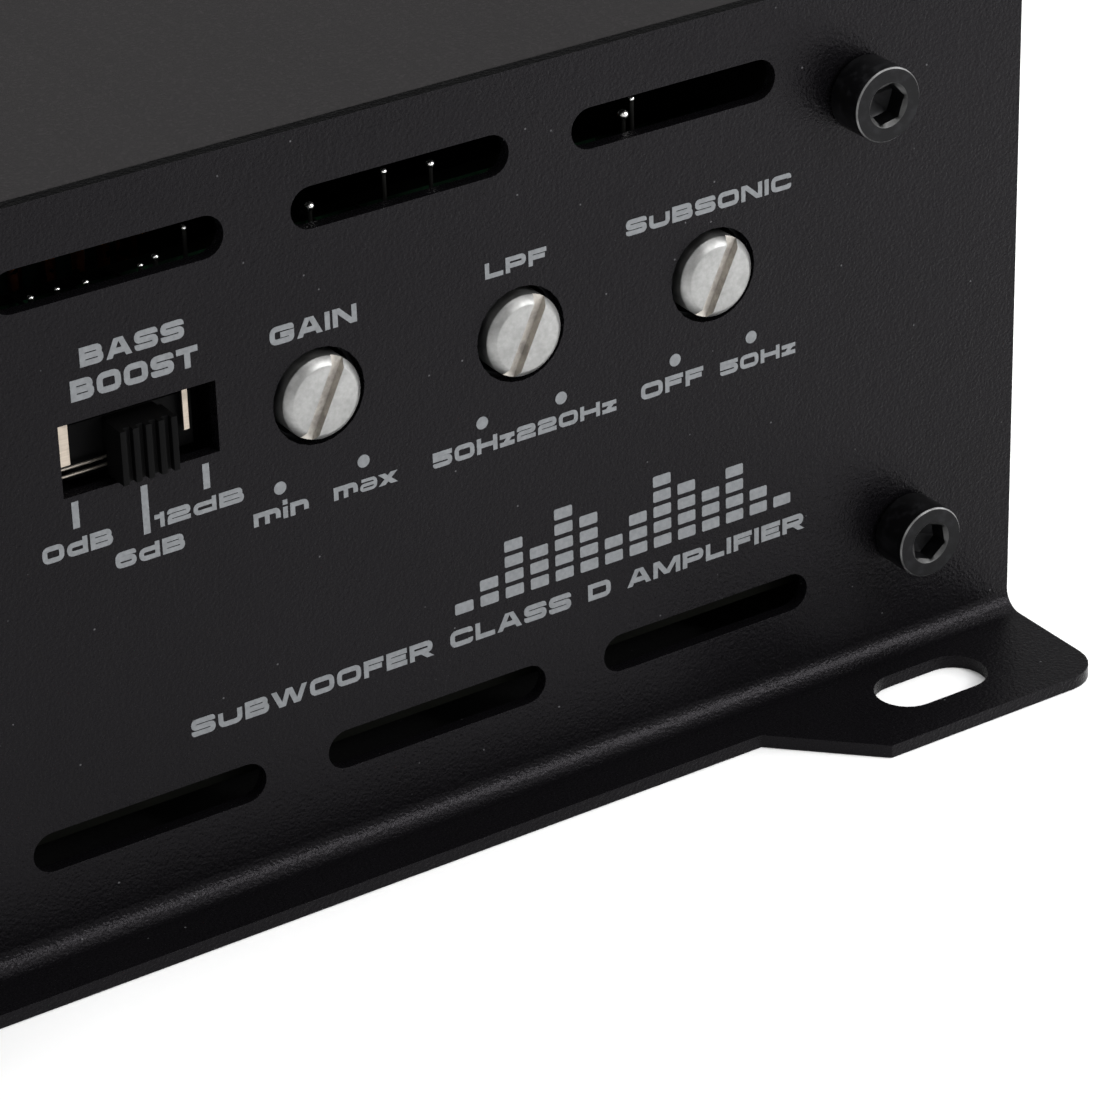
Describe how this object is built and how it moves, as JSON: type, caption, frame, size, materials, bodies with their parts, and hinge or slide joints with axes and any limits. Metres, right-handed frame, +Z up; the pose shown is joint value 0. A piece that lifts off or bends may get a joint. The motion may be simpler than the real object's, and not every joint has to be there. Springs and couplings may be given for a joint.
{
  "type": "car amplifier",
  "caption": "Low rectangular car audio amplifier: finned heatsink case between two bent end plates with slotted mounting tabs, turned trimmers, slide switch, jacks, clamp terminals and fuses.",
  "frame": {"origin": "middle of the footprint, on the surface that the four mounting tabs stand on", "axes": "+X to the right along the control end, +Y from the control end to the terminal end, +Z up"},
  "size_m": [0.1466, 0.223, 0.0551],
  "materials": {
    "plate": "fine-grained black powder coat",
    "heatsink": "black-grey coated extrusion, fine matte",
    "cover": "black powder coat",
    "black_screw": "black oxide",
    "bright_screw": "zinc plated",
    "circuit_board": "green solder mask",
    "package": "moulded epoxy",
    "winding": "enamelled copper wire over a ferrite ring",
    "sleeve": "shrunk sleeve",
    "pot_body": "moulded",
    "shaft": "turned face",
    "tinned": "tinned sheet",
    "switch": "moulded",
    "socket": "moulded",
    "nickel": "nickel plated",
    "power_lamp": "tinted, unlit",
    "protect_lamp": "tinted, unlit",
    "terminal": "moulded",
    "plated": "nickel-plated brass",
    "fuse": "tinted, translucent"
  },
  "bodies": {
    "amplifier": {"heatsink": "heatsink", "front_plate": "plate", "rear_plate": "plate", "bottom_cover": "cover", "front_screw_upper_left": "black_screw", "front_screw_upper_right": "black_screw", "front_screw_lower_left": "black_screw", "front_screw_lower_right": "black_screw", "rear_screw_upper_left": "black_screw", "rear_screw_upper_right": "black_screw", "rear_screw_lower_left": "black_screw", "rear_screw_lower_right": "black_screw", "cover_screw_1": "black_screw", "cover_screw_2": "black_screw", "cover_screw_3": "black_screw", "cover_screw_4": "black_screw", "main_board": "circuit_board", "control_board": "circuit_board", "board_screw_1": "bright_screw", "board_screw_2": "bright_screw", "board_screw_3": "bright_screw", "board_screw_4": "bright_screw", "transistor_left": "package", "transistor_right": "package", "transistor_screw_left": "bright_screw", "transistor_screw_right": "bright_screw", "power_transformer": "winding", "output_inductor": "winding", "capacitor_1": "sleeve", "capacitor_2": "sleeve", "gain_pot_body": "pot_body", "lowpass_pot_body": "pot_body", "subsonic_pot_body": "pot_body", "bass_switch_frame": "tinned", "input_jack_block": "socket", "input_jack_shell_left": "nickel", "input_jack_shell_right": "nickel", "remote_port": "socket", "power_lamp": "power_lamp", "protect_lamp": "protect_lamp", "power_terminal_block": "terminal", "speaker_terminal_block": "terminal", "supply_contact": "plated", "remote_contact": "plated", "ground_contact": "plated", "speaker_minus_contact": "plated", "speaker_plus_contact": "plated", "fuse_holder": "terminal"},
    "gain_shaft": {"gain_pot_shaft": "shaft"},
    "lowpass_shaft": {"lowpass_pot_shaft": "shaft"},
    "subsonic_shaft": {"subsonic_pot_shaft": "shaft"},
    "bass_lever": {"bass_switch_lever": "switch"},
    "supply_screw": {"supply_set_screw": "bright_screw"},
    "remote_screw": {"remote_set_screw": "bright_screw"},
    "ground_screw": {"ground_set_screw": "bright_screw"},
    "speaker_minus_screw": {"speaker_minus_set_screw": "bright_screw"},
    "speaker_plus_screw": {"speaker_plus_set_screw": "bright_screw"},
    "pulled_fuse_1": {"fuse_1": "fuse"},
    "pulled_fuse_2": {"fuse_2": "fuse"}
  },
  "joints": [
    {"name": "gain_turn", "type": "hinge", "parent": "amplifier", "child": "gain_shaft", "pos_m": [0.01468, -0.1, 0.0359], "axis": [0, 1, 0], "range_deg": [-176, 124]},
    {"name": "lowpass_turn", "type": "hinge", "parent": "amplifier", "child": "lowpass_shaft", "pos_m": [0.03055, -0.1, 0.0359], "axis": [0, 1, 0], "range_deg": [-176, 124]},
    {"name": "subsonic_turn", "type": "hinge", "parent": "amplifier", "child": "subsonic_shaft", "pos_m": [0.04642, -0.1, 0.0359], "axis": [0, 1, 0], "range_deg": [-176, 124]},
    {"name": "bass_boost_slide", "type": "slide", "parent": "amplifier", "child": "bass_lever", "axis": [1, 0, 0], "range_m": [-0.0015, 0.0015]},
    {"name": "supply_screw_turn", "type": "hinge", "parent": "amplifier", "child": "supply_screw", "pos_m": [-0.0475, 0.104, 0.022], "axis": [0, 0, 1], "range_deg": [0, 1080]},
    {"name": "remote_screw_turn", "type": "hinge", "parent": "amplifier", "child": "remote_screw", "pos_m": [-0.0325, 0.104, 0.022], "axis": [0, 0, 1], "range_deg": [0, 1080]},
    {"name": "ground_screw_turn", "type": "hinge", "parent": "amplifier", "child": "ground_screw", "pos_m": [-0.0175, 0.104, 0.022], "axis": [0, 0, 1], "range_deg": [0, 1080]},
    {"name": "speaker_minus_screw_turn", "type": "hinge", "parent": "amplifier", "child": "speaker_minus_screw", "pos_m": [0.0325, 0.104, 0.022], "axis": [0, 0, 1], "range_deg": [0, 1080]},
    {"name": "speaker_plus_screw_turn", "type": "hinge", "parent": "amplifier", "child": "speaker_plus_screw", "pos_m": [0.0475, 0.104, 0.022], "axis": [0, 0, 1], "range_deg": [0, 1080]},
    {"name": "fuse_1_pull", "type": "slide", "parent": "amplifier", "child": "pulled_fuse_1", "axis": [0, 1, 0], "range_m": [0, 0.012]},
    {"name": "fuse_2_pull", "type": "slide", "parent": "amplifier", "child": "pulled_fuse_2", "axis": [0, 1, 0], "range_m": [0, 0.012]}
  ]
}
